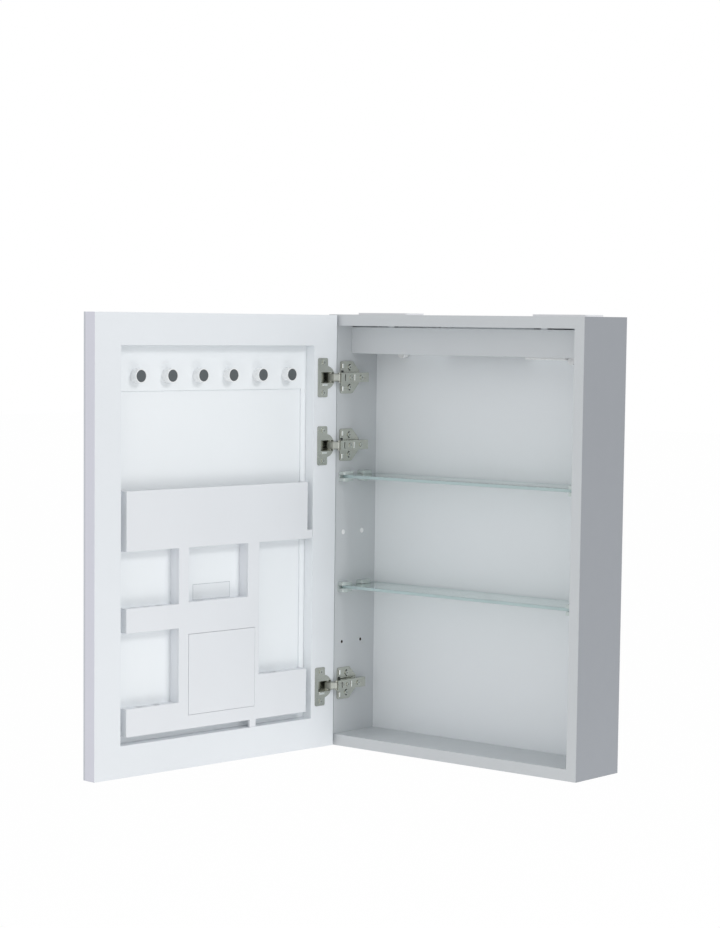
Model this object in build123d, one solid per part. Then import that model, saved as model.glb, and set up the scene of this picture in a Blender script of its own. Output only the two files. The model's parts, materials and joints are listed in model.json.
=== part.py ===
from build123d import *
from math import atan2, cos, degrees, hypot, radians, sin
import os

os.makedirs("parts", exist_ok=True)

# Carcass: X runs along the wall, Y from the room to the wall, Z up, wall plane at Y = 0
carcass_width = 500.0
carcass_height = 700.0
carcass_depth = 112.0
board_thickness = 18.0
back_thickness = 12.0

# Clearances
hole_clearance = 0.05
slide_clearance = 0.2
seam = 0.5

# Corner dowels
dowel_radius = 4.0
dowel_in_side = 12.0
dowel_in_board = 18.0
dowel_inset = 28.0

# Shelf pin holes and the two glass shelves
pin_radius = 2.45
pin_length = 10.0
pin_hole_depth = 11.0
rows_below_hinge = 52.0
row_spacing = 90.0
front_pin_setback = 19.0
pin_column_spacing = 47.0
glass_thickness = 5.0
glass_setback = 15.0
glass_back_gap = 3.0
glass_rise = 1.0

# Shelf clips
clip_length = 24.0
clip_height = 16.0
clip_reach = 12.0
clip_wall = 2.0
clip_corner = 3.0
clamp_screw_radius = 1.5
clamp_screw_inset = 8.0
clamp_head_radius = 2.6
clamp_head_height = 1.2

# Plugs of the unused pin holes
plug_cap_radius = 4.0
plug_cap_height = 0.8
plug_length = 8.0

# Valance under the top board
valance_setback = 36.0
valance_thickness = 12.0
valance_height = 42.5
valance_gap = 2.0
bracket_offset = 150.0
bracket_width = 12.0
bracket_inset = 0.5

# Wall hangers behind the valance
hanger_offset = 122.0
hanger_width = 78.0
hanger_height = 44.0
hanger_depth = 20.0
hanger_corner = 2.0
right_hanger_drop = 5.0
hanging_hole_radius = 4.0
hanging_hole_drop = 45.0
wheel_radius = 7.0
wheel_thickness = 12.0
wheel_axle_radius = 2.5
wheel_axle_length = 4.0

# Plates on the top board
left_plate_inset = 8.0
right_plate_inset = 38.0
top_plate_length = 104.0
top_plate_width = 46.0
top_plate_setback = 5.0
top_plate_thickness = 3.0
top_plate_corner = 5.0
top_screw_inset = 36.0
top_screw_radius = 2.0
top_screw_length = 14.0
top_head_radius = 3.6
top_head_height = 1.6

# Door, in its own frame: X from the hinge edge, Y out of its inner face, Z up
door_side_reveal = 2.0
door_end_reveal = 1.0
door_gap = 2.0
frame_depth = 22.0
mirror_thickness = 4.0
stile_width = 50.0
rail_width = 49.0
backing_thickness = 1.0
panel_thickness = 2.5
panel_ledge = 11.0
panel_band = 68.8
panel_foot = 11.0

# Magnetic pegs
peg_count = 6
peg_end_inset = 43.0
peg_radius = 11.0
peg_top_recess = 5.0
peg_rise = 23.0
magnet_radius = 9.2
magnet_thickness = 2.0

# Organizer in the door
organizer_height = 371.0
mask_thickness = 4.0
mask_side_clearance = 0.3
mask_foot_clearance = 1.0
middle_niche_width = 122.0
left_divider_width = 20.0
right_divider_width = 24.0
tray_height = 91.0
tongue_height = 14.5
foot_tab_inset = 5.5
foot_tab_width = 13.0
left_niche_height = 85.5
left_pocket_height = 37.5
left_foot_height = 42.6
middle_niche_height = 84.0
middle_pocket_height = 48.0
right_foot_height = 70.5
cover_foot = 21.5
cover_gap = 2.0
cover_lap = 15.0
cover_thickness = 2.0
cover_ledge = 5.0
wall_thickness = 2.0
shelf_recess = 1.0
bottle_hole_radius = 6.5
bottle_hole_gap = 0.5
left_hole_spacing = 25.5
left_hole_shift = 3.5
lower_hole_spacing = 33.0
middle_hole_inset = 32.0
right_hole_inset = 42.0
driver_side_gap = 11.0
driver_end_gap = 17.25
driver_face_gap = 3.0
label_inset = 20.0
label_width = 77.0
label_height = 25.0
label_thickness = 0.3

# Concealed hinges
upper_hinge_drop = 101.0
hinge_spacing = 109.0
lower_hinge_rise = 100.0
opening_at_rest = 95.0
cup_radius = 17.5
cup_depth = 12.0
cup_wall = 0.8
cup_centre = 23.5
flange_thickness = 1.2
flange_height = 62.5
flange_start = 20.5
flange_end = 42.0
flange_lip = 1.0
flange_corner = 3.0
mouth_start = 7.9
mouth_end = 35.0
mouth_half_height = 8.6
cup_screw_offset = 6.0
cup_screw_spacing = 48.0
cup_screw_length = 11.0

# Hinge pivots seen from above, arm pivots from the carcass's left front corner
outer_arm_pivot = (31.0, -2.4)
inner_arm_pivot = (30.6, -8.4)
outer_cup_pivot = (10.8, -1.5)
inner_cup_pivot = (12.7, -4.2)
outer_turn_share = 0.52
outer_knees = ((6.5, -0.2), (14.8, 4.6))
inner_knees = ((8.0, 4.0),)
link_half_width = 1.3
arm_eye_radius = 2.1
cup_eye_radius = 1.7
open_eye_radius = 1.2
arm_pin_radius = 1.1
cup_pin_radius = 0.9
open_pin_radius = 0.6
cup_pin_reach = 10.9
inner_link_half = 5.0
outer_cheek_start = 5.2
outer_cheek_end = 6.4

# Hinge arm and its mounting plate
arm_cheek_start = 6.6
arm_half_height = 7.6
arm_nose_radius = 2.7
arm_web_start = 33.5
arm_web_end = 34.7
arm_skirt = 24.0
arm_end = 60.0
arm_slot_start = 0.5
arm_slot_length = 2.0
plate_thickness = 2.0
saddle_start = 10.0
saddle_end = 46.0
saddle_half_height = 6.2
wing_half_height = 26.0
wing_front = 7.0
wing_tip_end = 36.5
wing_root_end = 53.0
wing_corner = 3.5
plate_screw_setback = 29.0
plate_screw_spacing = 32.0
plate_slot_length = 11.0
plate_slot_width = 4.4
screw_radius = 1.9
screw_head_radius = 3.6
screw_head_height = 1.4
plate_screw_length = 12.0
arm_screw_setback = 16.0
arm_screw_spacing = 26.0
arm_screw_length = 9.0
recess_width = 1.0
recess_depth = 0.7

# Places worked out from the sizes above
left = -carcass_width / 2
right = carcass_width / 2
bottom = -carcass_height / 2
top = carcass_height / 2
front = -carcass_depth
inner_left = left + board_thickness
inner_right = right - board_thickness
inner_bottom = bottom + board_thickness
inner_top = top - board_thickness
back_face = -back_thickness
upper_hinge = top - upper_hinge_drop
hinge_heights = [upper_hinge, upper_hinge - hinge_spacing, bottom + lower_hinge_rise]
hinge_names = ("upper", "middle", "lower")

door_width = carcass_width - 2 * door_side_reveal
door_top = top - door_end_reveal
door_bottom = bottom + door_end_reveal
opening_left = door_width - stile_width
opening_top = door_top - rail_width
opening_bottom = door_bottom + rail_width
backing_face = -frame_depth + backing_thickness
panel_face = backing_face + panel_thickness


def slab(x_start, x_end, y_start, y_end, z_start, z_end):
    """Box between two limits along each axis."""
    centre = Pos((x_start + x_end) / 2, (y_start + y_end) / 2, (z_start + z_end) / 2)
    return centre * Box(abs(x_end - x_start), abs(y_end - y_start), abs(z_end - z_start))


def rod_x(radius, x_start, x_end, y, z):
    """Round bar along X."""
    return Pos((x_start + x_end) / 2, y, z) * Rot(0, 90, 0) * Cylinder(radius, abs(x_end - x_start))


def rod_y(radius, x, y_start, y_end, z):
    """Round bar along Y."""
    return Pos(x, (y_start + y_end) / 2, z) * Rot(90, 0, 0) * Cylinder(radius, abs(y_end - y_start))


def rod_z(radius, x, y, z_start, z_end):
    """Round bar along Z."""
    return Pos(x, y, (z_start + z_end) / 2) * Cylinder(radius, abs(z_end - z_start))


def turned(point, centre, angle):
    """Point in plan after a turn about a centre, anticlockwise seen from above."""
    across = point[0] - centre[0]
    along = point[1] - centre[1]
    turn = radians(angle)
    return (
        centre[0] + across * cos(turn) - along * sin(turn),
        centre[1] + across * sin(turn) + along * cos(turn),
    )


def bar(start, end, half_width):
    """Flat round-ended bar between two points in plan."""
    length = hypot(end[0] - start[0], end[1] - start[1])
    angle = degrees(atan2(end[1] - start[1], end[0] - start[0]))
    middle = Pos((start[0] + end[0]) / 2, (start[1] + end[1]) / 2)
    return middle * Rot(0, 0, angle) * SlotCenterToCenter(length, 2 * half_width)


def upright(face, z_start, z_end):
    """Plan outline raised between two heights."""
    return Pos(0, 0, z_start) * extrude(face, amount=z_end - z_start)


def minus(shape, tools):
    """Shape with every tool cut out of it."""
    for tool in tools:
        shape = shape - tool
    return shape


def plus(shapes):
    """One solid fused from overlapping or touching shapes."""
    whole = shapes[0]
    for shape in shapes[1:]:
        whole = whole + shape
    return whole


def save(name, *shapes):
    """Write one node, as one solid or as a group of separate solids."""
    solids = [solid for shape in shapes for solid in shape.solids()]
    group = solids[0] if len(solids) == 1 else Compound(solids)
    export_step(group, f"parts/{name}.step")


# Where the open door stands: the outer links turn one way while the door turns the other
closed_edge = (door_side_reveal, -door_gap)
closed_outer_pin = (closed_edge[0] + outer_cup_pivot[0], closed_edge[1] + outer_cup_pivot[1])
outer_pin = turned(closed_outer_pin, outer_arm_pivot, outer_turn_share * opening_at_rest)
edge_from_pin = turned(closed_edge, closed_outer_pin, -opening_at_rest)
rest_edge = (
    outer_pin[0] + edge_from_pin[0] - closed_outer_pin[0],
    outer_pin[1] + edge_from_pin[1] - closed_outer_pin[1],
)
inner_pin = turned(
    (rest_edge[0] + inner_cup_pivot[0], rest_edge[1] + inner_cup_pivot[1]), rest_edge, -opening_at_rest
)
door_place = Pos(left + rest_edge[0], front + rest_edge[1], 0) * Rot(0, 0, -opening_at_rest)


# Carcass boards, dowelled at the corners
def dowels(radius, extra):
    """The eight corner dowels, or their holes when made larger."""
    rods = []
    side_end = inner_left - dowel_in_side - extra
    board_end = inner_left + dowel_in_board + extra
    for z in (inner_top + board_thickness / 2, inner_bottom - board_thickness / 2):
        for y in (front + dowel_inset, -dowel_inset):
            rods.append(rod_x(radius, side_end, board_end, y, z))
            rods.append(rod_x(radius, -board_end, -side_end, y, z))
    return rods


first_row = hinge_heights[1] - rows_below_hinge
pin_rows = [first_row - row * row_spacing for row in range(4)]
pin_columns = [front + front_pin_setback, front + front_pin_setback + pin_column_spacing]
upper_shelf_row, plugged_row, lower_shelf_row = pin_rows[:3]


def pin_holes(face, direction):
    """Blind pin holes in a side board, from its inner face."""
    holes = []
    for z in pin_rows:
        for y in pin_columns:
            holes.append(rod_x(pin_radius + hole_clearance, face, face - direction * pin_hole_depth, y, z))
    return holes


def plate_screw_places():
    """Height and depth of each mounting plate screw."""
    places = []
    for height in hinge_heights:
        for side in (1, -1):
            places.append((front + plate_screw_setback, height + side * plate_screw_spacing / 2))
    return places


dowel_holes = dowels(dowel_radius + hole_clearance, hole_clearance)
plate_screw_end = inner_left + plate_thickness - plate_screw_length
plate_screw_holes = [
    rod_x(screw_radius + hole_clearance, plate_screw_end - hole_clearance, inner_left, y, z)
    for y, z in plate_screw_places()
]
left_side = slab(left, inner_left, front, 0, bottom, top)
save("left_side_panel", minus(left_side, pin_holes(inner_left, 1) + dowel_holes + plate_screw_holes))
right_side = slab(inner_right, right, front, 0, bottom, top)
save("right_side_panel", minus(right_side, pin_holes(inner_right, -1) + dowel_holes))
save("bottom_panel", minus(slab(inner_left, inner_right, front, 0, bottom, inner_bottom), dowel_holes))
save("corner_dowels", *dowels(dowel_radius, 0))

plate_starts = (left + left_plate_inset, right - right_plate_inset - top_plate_length)
top_screw_places = [start + inset for start in plate_starts
                    for inset in (top_screw_inset, top_plate_length - top_screw_inset)]
top_screw_y = -top_plate_setback - top_plate_width / 2
top_screw_seat = top + top_plate_thickness - top_head_height
top_screw_end = top_screw_seat - top_screw_length


def top_screws(extra):
    """Countersunk screws of the top plates, or their holes when made larger."""
    screws = []
    for x in top_screw_places:
        shank = rod_z(top_screw_radius + extra, x, top_screw_y, top_screw_end - extra, top_screw_seat)
        head = rod_z(top_head_radius + extra, x, top_screw_y, top_screw_seat, top + top_plate_thickness)
        screws.append(shank + head)
    return screws


top_board = slab(inner_left, inner_right, front, 0, inner_top, top)
save("top_panel", minus(top_board, dowel_holes + top_screws(hole_clearance)))


def driven(screw, x, y, face):
    """Screw with a cross recess in a head that looks up."""
    long_way = slab(x - top_head_radius / 2, x + top_head_radius / 2, y - recess_width / 2,
                    y + recess_width / 2, face - recess_depth, face)
    cross_way = slab(x - recess_width / 2, x + recess_width / 2, y - top_head_radius / 2,
                     y + top_head_radius / 2, face - recess_depth, face)
    return screw - long_way - cross_way


save("top_plate_screws", *[driven(screw, x, top_screw_y, top + top_plate_thickness)
                           for screw, x in zip(top_screws(0), top_screw_places)])


def top_plate(start):
    """Thin plate on the top board, with round corners."""
    plate = slab(start, start + top_plate_length, -top_plate_setback - top_plate_width, -top_plate_setback,
                 top, top + top_plate_thickness)
    plate = fillet(plate.edges().filter_by(Axis.Z), top_plate_corner)
    return minus(plate, top_screws(hole_clearance))


save("top_plates", *[top_plate(start) for start in plate_starts])

hanging_hole_z = top - hanging_hole_drop
hanging_holes = [
    rod_y(hanging_hole_radius, side * hanger_offset, back_face - hanger_depth, 0, hanging_hole_z)
    for side in (-1, 1)
]
back_board = slab(inner_left, inner_right, back_face, 0, inner_bottom, inner_top)
save("back_panel", minus(back_board, hanging_holes))

valance_front = front + valance_setback
valance_top = inner_top - valance_gap
save("valance", slab(inner_left, inner_right, valance_front, valance_front + valance_thickness,
                     valance_top - valance_height, valance_top))
save("valance_brackets", *[
    slab(x - bracket_width / 2, x + bracket_width / 2, valance_front + bracket_inset,
         valance_front + valance_thickness - bracket_inset, valance_top, inner_top)
    for x in (-bracket_offset, bracket_offset)
])


# Wall hangers and their height wheels
def hanger(side, drop):
    """White housing on the back panel with its hanging hole."""
    centre = side * hanger_offset
    housing = slab(centre - hanger_width / 2, centre + hanger_width / 2,
                   back_face - hanger_depth, back_face,
                   inner_top - drop - hanger_height, inner_top - drop)
    front_edges = housing.faces().sort_by(Axis.Y)[0].edges()
    return minus(fillet(front_edges, hanger_corner), hanging_holes)


def height_wheel(side, drop):
    """Wheel beside a hanger, on an axle that reaches the back panel."""
    x = side * (hanger_offset + hanger_width / 2 + wheel_radius)
    z = inner_top - drop - hanger_height
    wheel_back = back_face - wheel_axle_length
    wheel = rod_y(wheel_radius, x, wheel_back - wheel_thickness, wheel_back, z)
    return wheel + rod_y(wheel_axle_radius, x, wheel_back, back_face, z)


save("left_wall_hanger", hanger(-1, 0))
save("right_wall_hanger", hanger(1, right_hanger_drop))
save("height_wheels", height_wheel(-1, 0), height_wheel(1, right_hanger_drop))


# Glass shelves in their clips
def glass_shelf(row):
    """Clear shelf between the clips of one pin row."""
    end = clip_wall + slide_clearance
    z = row + glass_rise
    return slab(inner_left + end, inner_right - end, front + glass_setback, back_face - glass_back_gap,
                z - glass_thickness / 2, z + glass_thickness / 2)


def left_clip(row, y):
    """Clip on the left board: a jaw round the glass and a pin in the board."""
    z = row + glass_rise
    body = slab(inner_left, inner_left + clip_reach, y - clip_length / 2, y + clip_length / 2,
                z - clip_height / 2, z + clip_height / 2)
    body = fillet(body.edges().filter_by(Axis.Z).sort_by(Axis.X)[-2:], clip_corner)
    jaw = slab(inner_left + clip_wall, inner_left + clip_reach, y - clip_length / 2, y + clip_length / 2,
               z - glass_thickness / 2, z + glass_thickness / 2 + slide_clearance)
    hole = rod_z(clamp_screw_radius + hole_clearance, inner_left + clamp_screw_inset, y,
                 z - clip_height / 2, z - glass_thickness / 2)
    return body - jaw - hole + rod_x(pin_radius, inner_left - pin_length, inner_left, y, row)


def left_clamp_screw(row, y):
    """Screw that presses on the glass from below."""
    z = row + glass_rise
    x = inner_left + clamp_screw_inset
    jaw_bottom = z - clip_height / 2
    shank = rod_z(clamp_screw_radius, x, y, jaw_bottom, z - glass_thickness / 2)
    return shank + rod_z(clamp_head_radius, x, y, jaw_bottom - clamp_head_height, jaw_bottom)


def both_sides(shape):
    """A left piece and its mirror image on the right."""
    return [shape, mirror(shape, about=Plane.YZ)]


for name, row in (("upper", upper_shelf_row), ("lower", lower_shelf_row)):
    save(f"{name}_glass_shelf", glass_shelf(row))
    save(f"{name}_shelf_clips", *[clip for y in pin_columns for clip in both_sides(left_clip(row, y))])
save("clamp_screws", *[screw for row in (upper_shelf_row, lower_shelf_row) for y in pin_columns
                       for screw in both_sides(left_clamp_screw(row, y))])
save("pin_hole_plugs", *[
    plug for y in pin_columns
    for plug in both_sides(rod_x(pin_radius, inner_left - plug_length, inner_left, y, plugged_row)
                           + rod_x(plug_cap_radius, inner_left, inner_left + plug_cap_height, y, plugged_row))
])


# Hinges: every piece is drawn at the height of its own hinge
def at_corner(shape, height):
    """Move a piece from the carcass's left front corner to a hinge height."""
    return Pos(left, front, height) * shape


def cross_recess(centre_x, y, z, direction):
    """Cross in a screw head whose face looks along X."""
    end = centre_x - direction * recess_depth
    arm = screw_head_radius / 2
    return [
        slab(centre_x, end, y - arm, y + arm, z - recess_width / 2, z + recess_width / 2),
        slab(centre_x, end, y - recess_width / 2, y + recess_width / 2, z - arm, z + arm),
    ]


def mounting_plate():
    """Winged plate with a raised saddle for the arm."""
    saddle_edge = saddle_half_height + wing_corner
    outline = [
        (wing_front, saddle_edge), (wing_front, wing_half_height), (wing_tip_end, wing_half_height),
        (wing_root_end, saddle_edge),
    ]
    outline += [(setback, -half_height) for setback, half_height in reversed(outline)]
    face = fillet(make_face(Polyline(*outline, close=True)).vertices(), wing_corner)
    plate = Pos(board_thickness, 0, 0) * extrude(Plane.YZ * face, amount=plate_thickness)
    for side in (1, -1):
        slot = Pos(plate_screw_setback, side * plate_screw_spacing / 2) * Rot(0, 0, 90) * SlotOverall(
            plate_slot_length, plate_slot_width)
        plate -= Pos(board_thickness, 0, 0) * extrude(Plane.YZ * slot, amount=plate_thickness)
    saddle = slab(board_thickness, arm_web_start, saddle_start, saddle_end,
                  -saddle_half_height, saddle_half_height)
    holes = [rod_x(screw_radius + hole_clearance, arm_web_end - arm_screw_length - hole_clearance,
                   arm_web_start, arm_screw_setback + step * arm_screw_spacing, 0) for step in (0, 1)]
    return minus(plate + saddle, holes)


def hinge_arm():
    """Channel over the saddle, with cheeks that reach forward to the two arm pivots."""
    cheek = bar(outer_arm_pivot, inner_arm_pivot, arm_nose_radius)
    web_middle = (arm_skirt + arm_web_end) / 2
    cheek += Pos(web_middle, (saddle_start + arm_end) / 2) * Rectangle(
        arm_web_end - arm_skirt, arm_end - saddle_start)
    nose_inner = outer_arm_pivot[0] - arm_nose_radius
    cheek += make_face(Polyline(
        (nose_inner, outer_arm_pivot[1]), (arm_skirt, saddle_start), (arm_web_end, saddle_start),
        (arm_web_end, inner_arm_pivot[1]), inner_arm_pivot, close=True))
    cheeks = [upright(cheek, arm_cheek_start, arm_half_height),
              upright(cheek, -arm_half_height, -arm_cheek_start)]
    web = slab(arm_web_start, arm_web_end, inner_arm_pivot[1], arm_end, -arm_half_height, arm_half_height)
    slot = slab(arm_web_start, arm_web_end, arm_slot_start, arm_slot_start + arm_slot_length,
                -outer_cheek_start, outer_cheek_start)
    pin_bores = [rod_z(arm_pin_radius + hole_clearance, x, y, -arm_half_height, arm_half_height)
                 for x, y in (outer_arm_pivot, inner_arm_pivot)]
    screw_bores = [rod_x(screw_radius + hole_clearance, arm_web_start, arm_web_end,
                         arm_screw_setback + step * arm_screw_spacing, 0) for step in (0, 1)]
    return minus(plus(cheeks + [web]), [slot] + pin_bores + screw_bores)


def arm_screws():
    """Two screws through the arm's web into the saddle."""
    screws = []
    for step in (0, 1):
        y = arm_screw_setback + step * arm_screw_spacing
        shank = rod_x(screw_radius, arm_web_end - arm_screw_length, arm_web_end, y, 0)
        head = rod_x(screw_head_radius, arm_web_end, arm_web_end + screw_head_height, y, 0)
        screws.append(minus(shank + head, cross_recess(arm_web_end + screw_head_height, y, 0, 1)))
    return screws


def plate_screws():
    """Two screws through the wings into the side board, their heads on the wings."""
    screws = []
    face = board_thickness + plate_thickness
    for side in (1, -1):
        z = side * plate_screw_spacing / 2
        shank = rod_x(screw_radius, face - plate_screw_length, face, plate_screw_setback, z)
        head = rod_x(screw_head_radius, face, face + screw_head_height, plate_screw_setback, z)
        recess = cross_recess(face + screw_head_height, plate_screw_setback, z, 1)
        screws.append(minus(shank + head, recess))
    return screws


def link_outline(start, end, knees, start_eye, end_eye):
    """Link from an arm pivot to a cup pivot; each knee is a place along it and a bow to its left."""
    length = hypot(end[0] - start[0], end[1] - start[1])
    ahead = ((end[0] - start[0]) / length, (end[1] - start[1]) / length)
    corners = [
        (start[0] + along * ahead[0] - bow * ahead[1], start[1] + along * ahead[1] + bow * ahead[0])
        for along, bow in knees
    ]
    outline = Pos(*start) * Circle(start_eye) + Pos(*end) * Circle(end_eye)
    for near, far in zip([start] + corners, corners + [end]):
        outline += bar(near, far, link_half_width)
    return outline


def outer_link():
    """Wide link: two cheeks joined by a bush round its arm pin."""
    outline = link_outline(outer_arm_pivot, outer_pin, outer_knees, arm_eye_radius, cup_eye_radius)
    cheeks = [upright(outline, outer_cheek_start, outer_cheek_end),
              upright(outline, -outer_cheek_end, -outer_cheek_start)]
    bush = rod_z(arm_eye_radius, *outer_arm_pivot, -outer_cheek_end, outer_cheek_end)
    arm_bore = rod_z(arm_pin_radius + hole_clearance, *outer_arm_pivot, -outer_cheek_end, outer_cheek_end)
    cup_bore = rod_z(cup_pin_radius + hole_clearance, *outer_pin, -outer_cheek_end, outer_cheek_end)
    return minus(plus(cheeks + [bush]), [arm_bore, cup_bore])


def inner_link():
    """Narrow link between the outer link's cheeks."""
    outline = link_outline(inner_arm_pivot, inner_pin, inner_knees, arm_eye_radius, open_eye_radius)
    body = upright(outline, -inner_link_half, inner_link_half)
    arm_bore = rod_z(arm_pin_radius + hole_clearance, *inner_arm_pivot, -inner_link_half, inner_link_half)
    open_bore = rod_z(open_pin_radius + hole_clearance, *inner_pin, -inner_link_half, inner_link_half)
    return minus(body, [arm_bore, open_bore])


def hinge_cup():
    """Pressed cup with its flange, drawn in the door's frame."""
    body = rod_y(cup_radius, cup_centre, -cup_depth, 0, 0)
    body -= rod_y(cup_radius - cup_wall, cup_centre, -cup_depth + cup_wall, 0, 0)
    half = flange_height / 2
    tab = [(flange_start, half), (flange_end, half), (flange_end, -half), (flange_start, -half)]
    face = fillet(make_face(Polyline(*tab, close=True)).vertices(), flange_corner)
    face += Pos(cup_centre, 0) * Circle(cup_radius + flange_lip)
    flange = Pos(0, flange_thickness, 0) * extrude(Plane.XZ * face, amount=flange_thickness)
    mouth = slab(mouth_start, mouth_end, 0, flange_thickness, -mouth_half_height, mouth_half_height)
    pin_bores = [rod_z(cup_pin_radius + hole_clearance, *outer_cup_pivot, side * cup_pin_reach,
                       side * mouth_half_height) for side in (1, -1)]
    screw_bores = [
        rod_y(screw_radius + hole_clearance, cup_centre + cup_screw_offset, 0, flange_thickness,
              side * cup_screw_spacing / 2)
        for side in (1, -1)
    ]
    return minus(body + flange, [mouth] + pin_bores + screw_bores)


def cup_screws():
    """Two screws through a cup's flange into the door frame."""
    screws = []
    x = cup_centre + cup_screw_offset
    for side in (1, -1):
        z = side * cup_screw_spacing / 2
        face = flange_thickness + screw_head_height
        shank = rod_y(screw_radius, x, flange_thickness - cup_screw_length, flange_thickness, z)
        head = rod_y(screw_head_radius, x, flange_thickness, face, z)
        arm = screw_head_radius / 2
        groove = recess_width / 2
        long_way = slab(x - arm, x + arm, face - recess_depth, face, z - groove, z + groove)
        cross_way = slab(x - groove, x + groove, face - recess_depth, face, z - arm, z + arm)
        screws.append(shank + head - long_way - cross_way)
    return screws


def cup_pins():
    """Two stub pins of a cup that carry the outer link's cheeks."""
    return [rod_z(cup_pin_radius, *outer_cup_pivot, side * outer_cheek_start, side * cup_pin_reach)
            for side in (1, -1)]


arm_pins = [rod_z(arm_pin_radius, x, y, -arm_half_height, arm_half_height)
            for x, y in (outer_arm_pivot, inner_arm_pivot)]
open_pin = rod_z(open_pin_radius, *inner_pin, -inner_link_half, inner_link_half)

for name, height in zip(hinge_names, hinge_heights):
    save(f"{name}_hinge_plate", at_corner(mounting_plate(), height))
    save(f"{name}_hinge_arm", at_corner(hinge_arm(), height))
    save(f"{name}_outer_link", at_corner(outer_link(), height))
    save(f"{name}_inner_link", at_corner(inner_link(), height))
    save(f"{name}_hinge_cup", door_place * Pos(0, 0, height) * hinge_cup())

screw_heights = [(screw, height) for height in hinge_heights for screw in cup_screws()]
pin_heights = [(pin, height) for height in hinge_heights for pin in cup_pins()]
save("plate_screws", *[at_corner(screw, height) for height in hinge_heights for screw in plate_screws()])
save("arm_screws", *[at_corner(screw, height) for height in hinge_heights for screw in arm_screws()])
save("arm_pins", *[at_corner(pin, height) for height in hinge_heights for pin in arm_pins])
save("inner_link_pins", *[at_corner(open_pin, height) for height in hinge_heights])
save("cup_pins", *[door_place * Pos(0, 0, height) * pin for pin, height in pin_heights])
save("cup_screws", *[door_place * Pos(0, 0, height) * screw for screw, height in screw_heights])


# Door: a frame behind the mirror, lined by a sheet and a windowed panel
def in_door(name, *shapes):
    """Save a node that was drawn in the door's frame."""
    save(name, *[door_place * shape for shape in shapes])


door_frame = slab(0, door_width, -frame_depth, 0, door_bottom, door_top)
door_frame -= slab(stile_width, opening_left, -frame_depth, 0, opening_bottom, opening_top)
for height in hinge_heights:
    door_frame -= rod_y(cup_radius + hole_clearance, cup_centre, -cup_depth - hole_clearance, 0, height)
    for side in (1, -1):
        door_frame -= rod_y(screw_radius + hole_clearance, cup_centre + cup_screw_offset,
                            flange_thickness - cup_screw_length - hole_clearance, 0,
                            height + side * cup_screw_spacing / 2)
in_door("door_frame", door_frame)
in_door("mirror_glass", slab(0, door_width, -frame_depth - mirror_thickness, -frame_depth,
                             door_bottom, door_top))

lining = (stile_width + slide_clearance, opening_left - slide_clearance)
in_door("backing_sheet", slab(*lining, -frame_depth, backing_face, opening_bottom + slide_clearance,
                              opening_top - slide_clearance))
window_start = stile_width + panel_ledge
window_end = opening_left - panel_ledge
window_top = opening_top - panel_band
window_bottom = opening_bottom + panel_foot
panel = slab(*lining, backing_face, panel_face, opening_bottom + slide_clearance,
             opening_top - slide_clearance)
window = slab(window_start, window_end, backing_face, panel_face, window_bottom, window_top)
in_door("inner_panel", panel - window)

first_peg = stile_width + peg_end_inset
peg_spacing = (opening_left - peg_end_inset - first_peg) / (peg_count - 1)
peg_places = [first_peg + index * peg_spacing for index in range(peg_count)]
peg_height = window_top + peg_rise
magnet_seat = -peg_top_recess - magnet_thickness
in_door("magnetic_pegs", *[
    rod_y(peg_radius, x, panel_face, -peg_top_recess, peg_height)
    - rod_y(magnet_radius, x, magnet_seat, -peg_top_recess, peg_height)
    for x in peg_places
])
in_door("peg_magnets", *[
    rod_y(magnet_radius - hole_clearance, x, magnet_seat, -peg_top_recess, peg_height)
    for x in peg_places
])

# Organizer: a front mask with niches, and the walls behind it
mask_start = window_start + mask_side_clearance
mask_end = window_end - mask_side_clearance
mask_back = -mask_thickness
organizer_bottom = window_bottom + mask_foot_clearance
organizer_top = organizer_bottom + organizer_height
tray_bottom = organizer_top - tray_height
dividers_width = left_divider_width + middle_niche_width + right_divider_width
side_niche_width = (mask_end - mask_start - dividers_width) / 2
left_divider_end = mask_end - side_niche_width
left_divider_start = left_divider_end - left_divider_width
right_divider_start = mask_start + side_niche_width
right_divider_end = right_divider_start + right_divider_width
left_pocket_top = tray_bottom - left_niche_height
left_pocket_bottom = left_pocket_top - left_pocket_height
middle_pocket_top = tray_bottom - middle_niche_height
middle_pocket_bottom = middle_pocket_top - middle_pocket_height
lower_left_top = organizer_bottom + left_foot_height
right_pocket_top = organizer_bottom + right_foot_height
cover_top = middle_pocket_bottom - cover_gap
cover_bottom = organizer_bottom + cover_foot
cover_end = left_divider_start
cover_start = right_divider_end - cover_lap


def niche(x_start, x_end, z_low, z_high):
    """Block as thick as the mask, for a tab on it or an opening through it."""
    return slab(x_start, x_end, mask_back, 0, z_low, z_high)


def behind(x_start, x_end, z_low, z_high):
    """Wall between the mask and the backing sheet."""
    return slab(x_start, x_end, backing_face, mask_back, z_low, z_high)


mask = niche(mask_start, mask_end, organizer_bottom, organizer_top)
mask += slab(stile_width + mask_side_clearance, mask_start, mask_back, 0,
             tray_bottom, tray_bottom + tongue_height)
foot_tab_start = right_divider_start + foot_tab_inset
mask += niche(foot_tab_start, foot_tab_start + foot_tab_width, opening_bottom + slide_clearance,
              organizer_bottom)
mask -= niche(left_divider_end, mask_end, left_pocket_top, tray_bottom)
mask -= niche(left_divider_end, mask_end, lower_left_top, left_pocket_bottom)
mask -= niche(right_divider_end, left_divider_start, middle_pocket_top, tray_bottom)
mask -= niche(mask_start, right_divider_start, right_pocket_top, tray_bottom)
mask -= slab(cover_start - seam, cover_end + seam, -cover_thickness, 0,
             cover_bottom - seam, cover_top + seam)
mask -= niche(cover_start + cover_ledge, cover_end - cover_ledge, cover_bottom + cover_ledge,
              cover_top - cover_ledge)
in_door("organizer_front", mask)
in_door("compartment_cover", slab(cover_start, cover_end, -cover_thickness, 0, cover_bottom, cover_top))

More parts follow.
